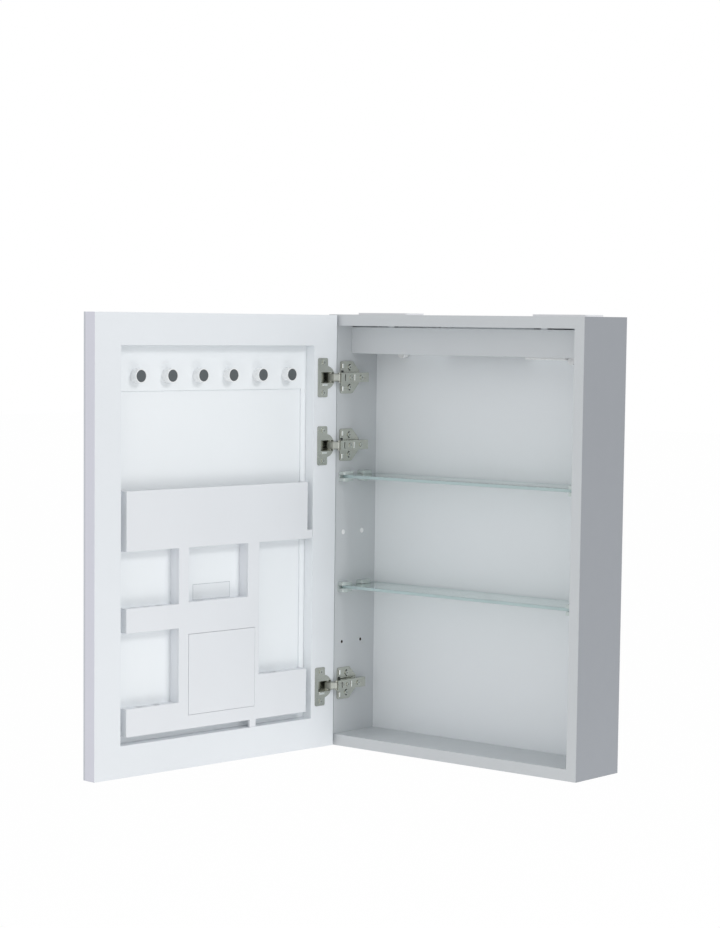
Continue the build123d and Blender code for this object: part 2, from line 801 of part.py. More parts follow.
in_door("upper_tray_floor", behind(mask_start, mask_end, tray_bottom, tray_bottom + wall_thickness))
lower_floor_top = organizer_bottom + wall_thickness
tray_floor_top = tray_bottom + wall_thickness
in_door(
    "tray_ends",
    behind(mask_start, mask_start + wall_thickness, tray_floor_top, organizer_top),
    behind(mask_end - wall_thickness, mask_end, tray_floor_top, organizer_top),
    behind(mask_start, mask_start + wall_thickness, lower_floor_top, right_pocket_top),
    behind(mask_end - wall_thickness, mask_end, lower_floor_top, lower_left_top),
    behind(mask_end - wall_thickness, mask_end, left_pocket_bottom + wall_thickness, left_pocket_top),
)


def divider(start, width):
    """Hollow divider: two walls behind one bar of the mask."""
    outer = behind(start, start + width, lower_floor_top, tray_bottom)
    hollow = behind(start + wall_thickness, start + width - wall_thickness, lower_floor_top, tray_bottom)
    return outer - hollow


in_door("left_divider", divider(left_divider_start, left_divider_width))
in_door("right_divider", divider(right_divider_start, right_divider_width))


def holed_shelf(x_start, x_end, pocket_top, hole_places):
    """Shelf just inside a pocket's rim, with a hole for each bottle or brush."""
    upper = pocket_top - shelf_recess
    shelf = behind(x_start, x_end, upper - wall_thickness, upper)
    hole_y = mask_back - bottle_hole_gap - bottle_hole_radius
    holes = [rod_z(bottle_hole_radius, x, hole_y, upper - wall_thickness, upper) for x in hole_places]
    return minus(shelf, holes)


left_niche_middle = (left_divider_end + mask_end) / 2
left_niche = (left_divider_end, mask_end - wall_thickness)
in_door("left_pocket_shelf", holed_shelf(*left_niche, left_pocket_top, [
    left_niche_middle + left_hole_shift + step * left_hole_spacing for step in (-1, 0, 1)]))
in_door("lower_left_shelf", holed_shelf(*left_niche, lower_left_top, [
    left_niche_middle + step * lower_hole_spacing / 2 for step in (-1, 1)]))
in_door("middle_pocket_shelf", holed_shelf(right_divider_end, left_divider_start, middle_pocket_top,
                                           [left_divider_start - middle_hole_inset]))
in_door("right_pocket_shelf", holed_shelf(mask_start + wall_thickness, right_divider_start,
                                          right_pocket_top, [right_divider_start - right_hole_inset]))
in_door(
    "pocket_floors",
    behind(left_divider_end, mask_end, left_pocket_bottom, left_pocket_bottom + wall_thickness),
    behind(right_divider_end, left_divider_start, middle_pocket_bottom,
           middle_pocket_bottom + wall_thickness),
    behind(mask_start, mask_end, organizer_bottom, lower_floor_top),
)

in_door("driver_unit", slab(right_divider_end + driver_side_gap, left_divider_start - driver_side_gap,
                            backing_face, mask_back - driver_face_gap,
                            cover_bottom + driver_end_gap, cover_top - driver_end_gap))
label_foot = middle_pocket_top - shelf_recess
label_start = right_divider_end + label_inset
in_door("blank_label", slab(label_start, label_start + label_width, backing_face,
                            backing_face + label_thickness, label_foot, label_foot + label_height))
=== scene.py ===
"""Looks of a mirrored medicine cabinet: finishes, softened pieces, studio and camera.

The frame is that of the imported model, in metres: X runs along the wall, Y into the wall and Z up,
with the wall plane at Y = 0. The door stands open, so its pieces are drawn in the door's own frame
(X from the hinge edge, Y out of the inner face) and then placed. Sizes of the cabinet's details are
in millimetres, and those of the studio in metres.
"""
from __future__ import annotations

import json
import logging
import math
from collections.abc import Callable
from dataclasses import dataclass
from enum import Enum

import bpy
from mathutils import Matrix, Vector

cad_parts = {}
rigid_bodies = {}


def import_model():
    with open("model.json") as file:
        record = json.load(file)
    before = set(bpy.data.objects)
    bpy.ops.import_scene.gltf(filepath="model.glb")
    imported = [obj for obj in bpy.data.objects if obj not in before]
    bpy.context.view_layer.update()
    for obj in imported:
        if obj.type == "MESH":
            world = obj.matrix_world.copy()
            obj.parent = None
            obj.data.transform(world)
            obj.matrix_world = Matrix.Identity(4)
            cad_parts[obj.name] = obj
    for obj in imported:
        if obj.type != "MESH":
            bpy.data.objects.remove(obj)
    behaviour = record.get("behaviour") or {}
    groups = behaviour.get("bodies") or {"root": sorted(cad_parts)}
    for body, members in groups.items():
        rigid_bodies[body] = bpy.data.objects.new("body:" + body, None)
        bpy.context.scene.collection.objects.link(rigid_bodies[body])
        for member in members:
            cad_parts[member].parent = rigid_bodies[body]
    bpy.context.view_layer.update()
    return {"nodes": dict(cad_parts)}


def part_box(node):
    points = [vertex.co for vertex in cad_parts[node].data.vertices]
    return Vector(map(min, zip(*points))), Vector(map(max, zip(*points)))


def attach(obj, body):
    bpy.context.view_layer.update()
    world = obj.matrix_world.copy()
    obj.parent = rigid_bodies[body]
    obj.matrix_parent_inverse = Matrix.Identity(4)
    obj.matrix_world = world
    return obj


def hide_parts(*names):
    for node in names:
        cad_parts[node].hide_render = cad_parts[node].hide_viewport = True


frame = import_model()
CAD_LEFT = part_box("left_side_panel")[0].x
CAD_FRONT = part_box("left_side_panel")[0].y

LOG = logging.getLogger("cabinet")
Socket = bpy.types.NodeSocket
Span = tuple[float, float]
Triple = tuple[float, float, float]
Tone = tuple[int, int, int]

MM = 0.001
MERGE_DISTANCE = 0.002 * MM
FLAT_ANGLE = math.radians(0.4)
EDGE_ANGLE = math.radians(32.0)
FACING_SHARE = 0.9
OUTERMOST = 0.4 * MM
BORE_MARGIN = 0.7 * MM
WALL_INSET = 20.0 * MM
FEW_SEGMENTS = 2
ROUND_SEGMENTS = 3

OPENING = math.radians(95.0)
HINGES = ("upper", "middle", "lower")
AXES = range(3)
ALONG_X = Vector((1.0, 0.0, 0.0))
ALONG_Y = Vector((0.0, 1.0, 0.0))
ALONG_Z = Vector((0.0, 0.0, 1.0))

WHITE = (1.0, 1.0, 1.0, 1.0)
NOISE_LOW = 0.3
NOISE_HIGH = 0.7
DISPLAY_TOP = 255.0
DISPLAY_KNEE = 0.04045
DISPLAY_SLOPE = 12.92
DISPLAY_OFFSET = 0.055
DISPLAY_POWER = 2.4


class Body(Enum):
    """The rigid bodies that the joints move."""

    CABINET = "cabinet"
    OUTER_LINKS = "outer_links"
    INNER_LINKS = "inner_links"
    DOOR = "door"


@dataclass(frozen=True)
class Grain:
    """A noise on the object's coordinates, in cells per metre and octaves."""

    scale: float
    detail: float
    stretch: Triple = (1.0, 1.0, 1.0)


class Shader:
    """A node material under construction, with its Principled shader."""

    def __init__(self, name: str) -> None:
        """Start a node material.

        Args:
            name: Name of the material.
        """
        self.material = bpy.data.materials.new(name)
        self.material.use_nodes = True
        self.nodes = self.material.node_tree.nodes
        self.links = self.material.node_tree.links
        self.surface = self.nodes["Principled BSDF"]
        self.place = self.nodes.new("ShaderNodeTexCoord").outputs["Object"]

    def value(self, socket: str, value: float) -> None:
        """Set a constant on one of the surface's own sockets."""
        self.surface.inputs[socket].default_value = value

    def noise(self, grain: Grain) -> Socket:
        """Noise on the object's coordinates.

        Args:
            grain: Size, detail and stretch of the noise.

        Returns:
            The noise's value.
        """
        texture = self.nodes.new("ShaderNodeTexNoise")
        texture.inputs["Scale"].default_value = grain.scale
        texture.inputs["Detail"].default_value = grain.detail
        mapping = self.nodes.new("ShaderNodeMapping")
        mapping.inputs["Scale"].default_value = grain.stretch
        self.links.new(self.place, mapping.inputs["Vector"])
        self.links.new(mapping.outputs["Vector"], texture.inputs["Vector"])
        return texture.outputs["Fac"]

    def between(self, factor: Socket, low: float = 0.0, high: float = 1.0) -> Socket:
        """Map a noise's usual values to a range.

        Args:
            factor: Value around a half.
            low: Result at the low end of the usual values.
            high: Result at their high end.

        Returns:
            The mapped value.
        """
        node = self.nodes.new("ShaderNodeMapRange")
        node.inputs["From Min"].default_value = NOISE_LOW
        node.inputs["From Max"].default_value = NOISE_HIGH
        node.inputs["To Min"].default_value = low
        node.inputs["To Max"].default_value = high
        self.links.new(factor, node.inputs["Value"])
        return node.outputs["Result"]

    def blend(self, factor: Socket, first: Triple, second: Triple) -> Socket:
        """Mix two colours.

        Args:
            factor: Share of the second colour.
            first: Linear RGB of the first colour.
            second: Linear RGB of the second colour.

        Returns:
            The mixed colour.
        """
        node = self.nodes.new("ShaderNodeMix")
        node.data_type = "RGBA"
        node.inputs["A"].default_value = (*first, 1.0)
        node.inputs["B"].default_value = (*second, 1.0)
        self.links.new(factor, node.inputs["Factor"])
        return node.outputs["Result"]

    def hollows(self, reach: float) -> Socket:
        """How open a point is, from ambient occlusion: low in hollows and along inner corners, where it
        paints shade into a colour.

        Args:
            reach: How far a hollow's walls count, in metres.

        Returns:
            The openness, from 0 to 1.
        """
        node = self.nodes.new("ShaderNodeAmbientOcclusion")
        node.inputs["Distance"].default_value = reach
        return node.outputs["AO"]

    def colour(self, socket: Socket) -> None:
        """Use a colour output as the base colour."""
        self.links.new(socket, self.surface.inputs["Base Color"])

    def roughness(self, socket: Socket) -> None:
        """Use a value output as the roughness."""
        self.links.new(socket, self.surface.inputs["Roughness"])

    def bump(self, height: Socket, strength: float, distance: float) -> None:
        """Drive the surface's normal with a height.

        Args:
            height: Height between 0 and 1.
            strength: Share of the full effect.
            distance: Height of one unit, in metres.
        """
        node = self.nodes.new("ShaderNodeBump")
        node.inputs["Strength"].default_value = strength
        node.inputs["Distance"].default_value = distance
        self.links.new(height, node.inputs["Height"])
        self.links.new(node.outputs["Normal"], self.surface.inputs["Normal"])


def linear(tone: Tone) -> Triple:
    """Linear colour of a display colour.

    Args:
        tone: Red, green and blue from 0 to 255.

    Returns:
        Linear red, green and blue.
    """
    parts = []
    for part in tone:
        share = part / DISPLAY_TOP
        if share <= DISPLAY_KNEE:
            parts.append(share / DISPLAY_SLOPE)
        else:
            parts.append(((share + DISPLAY_OFFSET) / (1.0 + DISPLAY_OFFSET)) ** DISPLAY_POWER)
    return (parts[0], parts[1], parts[2])


@dataclass(frozen=True)
class Surface:
    """A finish whose tone, gloss and relief drift a little from place to place.

    The shade is the darkest tone's share of the full tone: in random clouds for most finishes, and as
    painted shade in the hollows of plated steel. The relief_height is in millimetres.
    """

    name: str
    tone: Tone
    gloss: Span = (0.36, 0.46)
    shade: float = 0.97
    relief: float = 0.0
    relief_height: float = 0.05
    clouds: Grain = Grain(3.0, 3.0)
    sheen: Grain = Grain(40.0, 4.0)
    bumps: Grain = Grain(900.0, 2.0)

    def build(self) -> bpy.types.Material:
        """Make the material.

        Returns:
            The new material.
        """
        shader = Shader(self.name)
        tone = linear(self.tone)
        dark = tuple(part * self.shade for part in tone)
        shader.colour(shader.blend(shader.between(self.shading(shader)), dark, tone))
        for socket, value in self.constants().items():
            shader.value(socket, value)
        shader.roughness(shader.between(shader.noise(self.sheen), *self.gloss))
        if self.relief:
            shader.bump(shader.noise(self.bumps), self.relief, self.relief_height * MM)
        return shader.material

    def shading(self, shader: Shader) -> Socket:
        """Where the full tone shows: in clouds."""
        return shader.noise(self.clouds)

    def constants(self) -> dict[str, float]:
        """Constants of the shader's own sockets: none for an opaque paint."""
        return {}


@dataclass(frozen=True)
class Lacquer(Surface):
    """Sprayed lacquer on board, with a faint orange peel."""

    relief: float = 0.05


@dataclass(frozen=True)
class MouldedPlastic(Surface):
    """Moulded plastic with a fine sparked texture."""

    gloss: Span = (0.40, 0.52)
    shade: float = 0.975
    relief: float = 0.08
    relief_height: float = 0.03
    clouds: Grain = Grain(6.0, 2.0)
    sheen: Grain = Grain(120.0, 3.0)
    bumps: Grain = Grain(2200.0, 2.0)


@dataclass(frozen=True)
class PlatedSteel(Surface):
    """Nickel plate on pressed steel, faintly brushed along one axis, with shade painted into its hollows."""

    gloss: Span = (0.22, 0.28)
    # Share of the tone left in the deepest painted shade.
    shade: float = 0.25
    relief: float = 0.015
    relief_height: float = 0.02
    sheen: Grain = Grain(300.0, 2.0, (1.0, 0.08, 1.0))
    bumps: Grain = Grain(900.0, 1.0, (1.0, 0.08, 1.0))
    # How far the painted shade reaches from a hollow's walls, in millimetres.
    painted_shade_reach: float = 3.0

    def shading(self, shader: Shader) -> Socket:
        """Where the full tone shows: outside the hollows, which get painted shade."""
        return shader.hollows(self.painted_shade_reach * MM)

    def constants(self) -> dict[str, float]:
        """Constants of a metal."""
        return {"Metallic": 1.0}


@dataclass(frozen=True)
class Silvering(Surface):
    """Silvered mirror glass."""

    gloss: Span = (0.012, 0.022)
    shade: float = 0.99
    clouds: Grain = Grain(4.0, 2.0)
    sheen: Grain = Grain(20.0, 2.0)

    def constants(self) -> dict[str, float]:
        """Constants of a metal."""
        return {"Metallic": 1.0}


@dataclass(frozen=True)
class GroundGlass(Surface):
    """Ground glass or clear plastic with a satin surface."""

    gloss: Span = (0.12, 0.2)
    shade: float = 0.95
    clouds: Grain = Grain(40.0, 2.0)
    sheen: Grain = Grain(200.0, 2.0)
    clear: float = 0.0
    bending: float = 1.5

    def constants(self) -> dict[str, float]:
        """Constants of a glass that lets a share of the light through."""
        return {"Transmission Weight": self.clear, "IOR": self.bending}


@dataclass(frozen=True)
class ClearGlass(GroundGlass):
    """Clear float glass with a faint green body."""

    gloss: Span = (0.01, 0.03)
    shade: float = 0.985
    clouds: Grain = Grain(5.0, 2.0)
    sheen: Grain = Grain(30.0, 2.0)
    clear: float = 1.0
    bending: float = 1.25


@dataclass(frozen=True)
class PlainWood(Surface):
    """Plain wood with its grain along X: the pale turned dowels, and the board core darkened to paint the
    bores' shade.
    """

    gloss: Span = (0.55, 0.7)
    shade: float = 0.7
    relief: float = 0.2
    relief_height: float = 0.1
    clouds: Grain = Grain(500.0, 4.0, (0.08, 1.0, 1.0))
    sheen: Grain = Grain(500.0, 4.0, (0.08, 1.0, 1.0))
    bumps: Grain = Grain(500.0, 4.0, (0.08, 1.0, 1.0))


class Finish(Enum):
    """Every finish of the cabinet."""

    CARCASS = Lacquer("carcass_board", (208, 212, 215))
    OUTER = Lacquer("carcass_outer", (146, 150, 156), (0.42, 0.50))
    BACK = Lacquer("back_board", (232, 236, 239), (0.34, 0.40), 0.98, 0.02)
    DOOR = Lacquer("door_board", (231, 235, 239))
    DOOR_EDGE = Lacquer("door_edge_band", (224, 225, 236))
    # The lining's white, also put on the door frame's recess side walls, lighter than the door, as painted
    # light.
    LINING = Lacquer("door_lining", (240, 244, 247), (0.36, 0.44))
    ORGANIZER = MouldedPlastic("organizer_plastic", (228, 231, 235))
    PEG = MouldedPlastic("peg_plastic", (240, 242, 243), (0.24, 0.32), relief=0.02)
    MAGNET = MouldedPlastic("magnet", (84, 90, 93), (0.5, 0.62))
    WHITE_PLASTIC = MouldedPlastic("white_plastic", (248, 249, 250), (0.24, 0.34))
    WHITE_PLATE = Lacquer("white_plate", (236, 237, 240), (0.28, 0.38))
    # The driver's dark case plastic, also used for the dark pieces that paint shade on the hinges.
    DRIVER = MouldedPlastic("driver_case", (52, 54, 58))
    LABEL = Lacquer("label_plate", (232, 236, 239), (0.30, 0.42))
    LABEL_BORDER = Lacquer("label_border", (186, 191, 196), (0.30, 0.42))
    MIRROR = Silvering("mirror", (236, 238, 238))
    MIRROR_EDGE = GroundGlass("mirror_edge", (206, 210, 218))
    GLASS = ClearGlass("shelf_glass", (238, 248, 246))
    GLASS_EDGE = GroundGlass("shelf_glass_edge", (198, 217, 218), clear=0.3)
    CLIP = GroundGlass("shelf_clip", (214, 224, 222), clear=0.15)
    # The plated steels have shade painted into their hollows; a shade near one paints little of it.
    HINGE = PlatedSteel("hinge_steel", (197, 199, 190))
    LINK = PlatedSteel("link_steel", (184, 187, 180), (0.40, 0.48), 0.95)
    FASTENER = PlatedSteel("fastener_steel", (204, 207, 200), (0.16, 0.22))
    # A lighter copy of the hinge steel that paints highlights on the wing pads, the arm's ridge and the
    # levers.
    BRIGHT = PlatedSteel("painted_highlight_steel", (240, 242, 238), (0.12, 0.18), 0.6)
    DOWEL = PlainWood("dowel_wood", (214, 184, 140))
    # Board core, partly its own colour and partly darkened to paint the shade deep inside the bores.
    CORE = PlainWood("board_core_and_hole_shade", (84, 74, 64))


MATERIALS: dict[Finish, bpy.types.Material] = {}


def material(finish: Finish) -> bpy.types.Material:
    """The material of a finish, made once.

    Args:
        finish: Which finish.

    Returns:
        Its material.
    """
    if finish not in MATERIALS:
        MATERIALS[finish] = finish.value.build()
    return MATERIALS[finish]


def select_only(piece: bpy.types.Object) -> None:
    """Leave one object selected and active.

    Args:
        piece: The object.
    """
    for other in bpy.context.view_layer.objects.selected[:]:
        other.select_set(False)
    piece.select_set(True)
    bpy.context.view_layer.objects.active = piece


def named(name: str) -> bpy.types.Object:
    """Name the active object and its mesh.

    Args:
        name: The name of both.

    Returns:
        The object.
    """
    piece = bpy.context.active_object
    piece.name = name
    piece.data.name = name
    return piece


def soften(piece: bpy.types.Object, width: float, segments: int) -> None:
    """Round the sharp edges of a piece and smooth its curved faces.

    Args:
        piece: Mesh object.
        width: Width of the rounding, in millimetres.
        segments: Number of faces across the rounding.
    """
    select_only(piece)
    bevel = piece.modifiers.new("soft_edges", "BEVEL")
    bevel.width = width * MM
    bevel.segments = segments
    bevel.limit_method = "ANGLE"
    bevel.angle_limit = EDGE_ANGLE
    bevel.use_clamp_overlap = True
    bpy.ops.object.modifier_apply(modifier=bevel.name)
    bpy.ops.object.shade_smooth_by_angle(angle=EDGE_ANGLE)
    weighted = piece.modifiers.new("flat_faces", "WEIGHTED_NORMAL")
    weighted.keep_sharp = True
    bpy.ops.object.modifier_apply(modifier=weighted.name)


def merged_copy(node: str, name: str) -> bpy.types.Object:
    """A copy of a CAD node's shape with its doubles merged and its flat faces joined.

    Args:
        node: Name of the CAD node.
        name: Name of the new piece.

    Returns:
        The new object.
    """
    mesh = frame["nodes"][node].data.copy()
    piece = bpy.data.objects.new(name, mesh)
    bpy.context.scene.collection.objects.link(piece)
    piece.data.materials.clear()
    select_only(piece)
    bpy.ops.object.mode_set(mode="EDIT")
    bpy.ops.mesh.select_all(action="SELECT")
    bpy.ops.mesh.customdata_custom_splitnormals_clear()
    bpy.ops.mesh.remove_doubles(threshold=MERGE_DISTANCE)
    bpy.ops.mesh.dissolve_limited(angle_limit=FLAT_ANGLE)
    bpy.ops.object.mode_set(mode="OBJECT")
    return piece


def sink_faces(piece: bpy.types.Object, facing: Vector, rim: float, depth: float) -> None:
    """Leave a rim round the faces that look one way and sink what lies inside it.

    Args:
        piece: Mesh object.
        facing: Unit vector that the faces look along.
        rim: Width of the rim, in millimetres.
        depth: Depth of the sunk part, in millimetres.
    """
    select_only(piece)
    bpy.ops.object.mode_set(mode="EDIT")
    bpy.ops.mesh.select_mode(type="FACE")
    bpy.ops.mesh.select_all(action="DESELECT")
    bpy.ops.object.mode_set(mode="OBJECT")
    for face in piece.data.polygons:
        face.select = face.normal.dot(facing) > FACING_SHARE
    bpy.ops.object.mode_set(mode="EDIT")
    bpy.ops.mesh.inset(thickness=rim * MM, use_even_offset=True)
    bpy.ops.mesh.extrude_region_move(TRANSFORM_OT_translate={"value": facing * -(depth * MM)})
    bpy.ops.object.mode_set(mode="OBJECT")


def join_pieces(pieces: list[bpy.types.Object], name: str) -> bpy.types.Object:
    """Join pieces of one kind into one object.

    Args:
        pieces: The objects, of which the first one stays.
        name: Name of the joined object.

    Returns:
        The joined object.
    """
    select_only(pieces[0])
    for piece in pieces[1:]:
        piece.select_set(True)
    bpy.ops.object.join()
    return named(name)


def copies(piece: bpy.types.Object, offsets: list[Vector]) -> list[bpy.types.Object]:
    """Copies of a piece, each with its own mesh, moved by the offsets.

    Args:
        piece: The object that is copied.
        offsets: Where each copy goes, from the first piece.

    Returns:
        The first piece and its copies.
    """
    made = [piece]
    for offset in offsets:
        select_only(piece)
        bpy.ops.object.duplicate()
        bpy.ops.transform.translate(value=offset)
        bpy.ops.object.transform_apply(location=True, rotation=False, scale=False)
        made.append(bpy.context.active_object)
    return made


@dataclass(frozen=True)
class Place:
    """A frame in which pieces are drawn before they go to their place."""

    matrix: Matrix

    def box(self, node: str) -> tuple[Vector, Vector]:
        """Lowest and highest corner of a CAD node in this frame.

        Args:
            node: Name of the node.

        Returns:
            The two corners.
        """
        back = self.matrix.inverted()
        points = [back @ vertex.co for vertex in frame["nodes"][node].data.vertices]
        low = Vector([min(point[axis] for point in points) for axis in AXES])
        high = Vector([max(point[axis] for point in points) for axis in AXES])
        return low, high

    def turned(self, direction: Vector) -> Vector:
        """A direction of this frame, in the model's frame."""
        return self.matrix.to_3x3() @ direction

    def settle(self, piece: bpy.types.Object) -> bpy.types.Object:
        """Move a piece that was drawn in this frame to its place.

        Args:
            piece: The object.

        Returns:
            The same object.
        """
        select_only(piece)
        piece.matrix_world = self.matrix @ piece.matrix_world
        bpy.ops.object.transform_apply(location=True, rotation=True, scale=True)
        return piece


def door_place() -> Place:
    """The door's own frame: its hinge edge and inner face are the zeros of X and Y.

    Returns:
        The place of that frame.
    """
    turn = Matrix.Rotation(-OPENING, 4, "Z")
    low, high = Place(turn).box("door_frame")
    return Place(Matrix.Translation(turn @ Vector((low.x, high.y, 0.0))) @ turn)


@dataclass(frozen=True)
class Block:
    """A block with rounded edges, from a cube at its size and place.

    Its corners are in metres. A rim leaves the rest of the face along Y sunk.
    """

    low: Vector
    high: Vector
    edge: float
    segments: int = FEW_SEGMENTS
    rim: float = 0.0
    sunk: float = 0.0

    def model(self, name: str) -> bpy.types.Object:
        """Make the block.

        Args:
            name: Name of the piece.

        Returns:
            The new object.
        """
        bpy.ops.mesh.primitive_cube_add(size=1.0, location=(self.low + self.high) / 2)
        piece = named(name)
        piece.scale = self.high - self.low
        bpy.ops.object.transform_apply(location=True, rotation=False, scale=True)
        if self.rim:
            sink_faces(piece, ALONG_Y, self.rim, self.sunk)
        soften(piece, self.edge, self.segments)
        return piece


@dataclass(frozen=True)
class Disc:
    """A round piece along Y, from a cylinder whose front is sunk inside a rim.

    Its radius, foot and tip are in metres.
    """

    radius: float
    foot: float
    tip: float
    edge: float
    rim: float
    sunk: float
    sides: int = 64

    def model(self, name: str, x: float, z: float) -> bpy.types.Object:
        """Make the disc.

        Args:
            name: Name of the piece.
            x: Its axis's place along X, in metres.
            z: Its axis's height, in metres.

        Returns:
            The new object.
        """
        bpy.ops.mesh.primitive_cylinder_add(
            vertices=self.sides, radius=self.radius, depth=self.tip - self.foot,
            location=(x, (self.foot + self.tip) / 2, z), rotation=(-math.pi / 2, 0.0, 0.0))
        piece = named(name)
        bpy.ops.object.transform_apply(location=True, rotation=True, scale=False)
        sink_faces(piece, ALONG_Y, self.rim, self.sunk)
        soften(piece, self.edge, ROUND_SEGMENTS)
        return piece


def hand_over(piece: bpy.types.Object, body: Body, finish: Finish, *nodes: str) -> bpy.types.Object:
    """Finish a piece: its material, its body and the nodes that it stands for.

    Args:
        piece: The object.
        body: The body that it rides on.
        finish: Its finish.
        nodes: CAD nodes that it replaces.

    Returns:
        The same object.
    """
    if not piece.data.materials:
        piece.data.materials.append(material(finish))
    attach(piece, body.value)
    if nodes:
        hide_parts(*nodes)
    LOG.info("piece %s on %s", piece.name, body.value)
    return piece


def paint(piece: bpy.types.Object, finish: Finish,
          chosen: Callable[[bpy.types.MeshPolygon], bool]) -> None:
    """Give a second finish to some faces of a piece.

    Args:
        piece: Mesh object that already has its first finish.
        finish: The second finish.
        chosen: Whether a face gets it.
    """
    mesh = piece.data
    mesh.materials.append(material(finish))
    for face in mesh.polygons:
        if chosen(face):
            face.material_index = len(mesh.materials) - 1


def farthest(piece: bpy.types.Object, facing: Vector) -> float:
    """How far a piece reaches in one direction, in metres."""
    return max(vertex.co.dot(facing) for vertex in piece.data.vertices)


def paint_faces(piece: bpy.types.Object, finish: Finish, facing: Vector,
                margin: float = OUTERMOST) -> None:
    """Give a second finish to the outermost faces that look one way.

    Args:
        piece: Mesh object that already has its first finish.
        finish: The second finish.
        facing: Unit vector that the faces look along.
        margin: How far behind the outermost point a face may lie, in metres.
    """
    limit = farthest(piece, facing) - margin
    paint(piece, finish,
          lambda face: face.normal.dot(facing) > FACING_SHARE and face.center.dot(facing) > limit)


def paint_walls(piece: bpy.types.Object, finish: Finish, facings: tuple[Vector, ...]) -> None:
    """Give a second finish to the faces inside a frame that look one of several ways; the door uses it to
    paint light onto its recess walls.

    Args:
        piece: Mesh object that already has its first finish.
        finish: The second finish.
        facings: Unit vectors that the faces look along.
    """
    limits = [(facing, farthest(piece, facing) - WALL_INSET) for facing in facings]
    paint(piece, finish,
          lambda face: any(face.normal.dot(facing) > FACING_SHARE and face.center.dot(facing) < limit
                           for facing, limit in limits))


def paint_bores(board: bpy.types.Object, finish: Finish) -> None:
    """Give the walls of a side board's bores their own finish, darker than bare board to paint the shade in
    the holes.

    Args:
        board: A board that is thin along X.
        finish: Finish of its core, which also paints the holes' shade.
    """
    vertices = board.data.vertices
    lows = [min(vertex.co[axis] for vertex in vertices) + BORE_MARGIN for axis in AXES]
    highs = [max(vertex.co[axis] for vertex in vertices) - BORE_MARGIN for axis in AXES]
    paint(board, finish,
          lambda face: all(low < part < high for low, part, high in zip(lows, face.center, highs)))


@dataclass(frozen=True)
class Softened:
    """A node shown by a copy of itself with rounded edges."""

    node: str
    finish: Finish
    width: float
    segments: int = FEW_SEGMENTS

    def build(self, body: Body) -> bpy.types.Object:
        """Make the piece.

        Args:
            body: The body that it rides on.

        Returns:
            The new object.
        """
        piece = merged_copy(self.node, f"{self.node}_finished")
        soften(piece, self.width, self.segments)
        return hand_over(piece, body, self.finish, self.node)


def dress(node: str, finish: Finish) -> None:
    """Give a CAD node its material.

    Args:
        node: Name of the node.
        finish: Its finish.
    """
    for slot in frame["nodes"][node].material_slots:
        slot.material = material(finish)


@dataclass
class Carcass:
    """The boards, the shelves and everything fixed to them."""

    board_edge: float = 0.6
    small_edge: float = 0.3
    glass_edge: float = 0.4

    def build(self) -> None:
        """Make every piece of the carcass."""
        for node, facing in (("left_side_panel", -ALONG_X), ("right_side_panel", ALONG_X)):
            side = Softened(node, Finish.CARCASS, self.board_edge).build(Body.CABINET)
            paint_faces(side, Finish.OUTER, facing)
            # The bores' dark core paints their shade.
            paint_bores(side, Finish.CORE)
        for node in ("top_panel", "bottom_panel", "valance"):
            Softened(node, Finish.CARCASS, self.board_edge).build(Body.CABINET)
        Softened("valance_brackets", Finish.CARCASS, self.small_edge).build(Body.CABINET)
        Softened("back_panel", Finish.BACK, self.small_edge).build(Body.CABINET)
        for node in ("left_wall_hanger", "right_wall_hanger", "height_wheels", "pin_hole_plugs"):
            Softened(node, Finish.WHITE_PLASTIC, self.small_edge).build(Body.CABINET)
        Softened("top_plates", Finish.WHITE_PLATE, self.small_edge).build(Body.CABINET)
        for node in ("upper_glass_shelf", "lower_glass_shelf"):
            shelf = Block(*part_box(node), self.glass_edge).model(f"{node}_finished")
            hand_over(shelf, Body.CABINET, Finish.GLASS, node)
            for facing in (-ALONG_X, ALONG_X, -ALONG_Y, ALONG_Y):
                paint_faces(shelf, Finish.GLASS_EDGE, facing)
        for node in ("upper_shelf_clips", "lower_shelf_clips"):
            Softened(node, Finish.CLIP, self.small_edge).build(Body.CABINET)
        dress("clamp_screws", Finish.CLIP)
        dress("top_plate_screws", Finish.WHITE_PLATE)
        dress("corner_dowels", Finish.DOWEL)


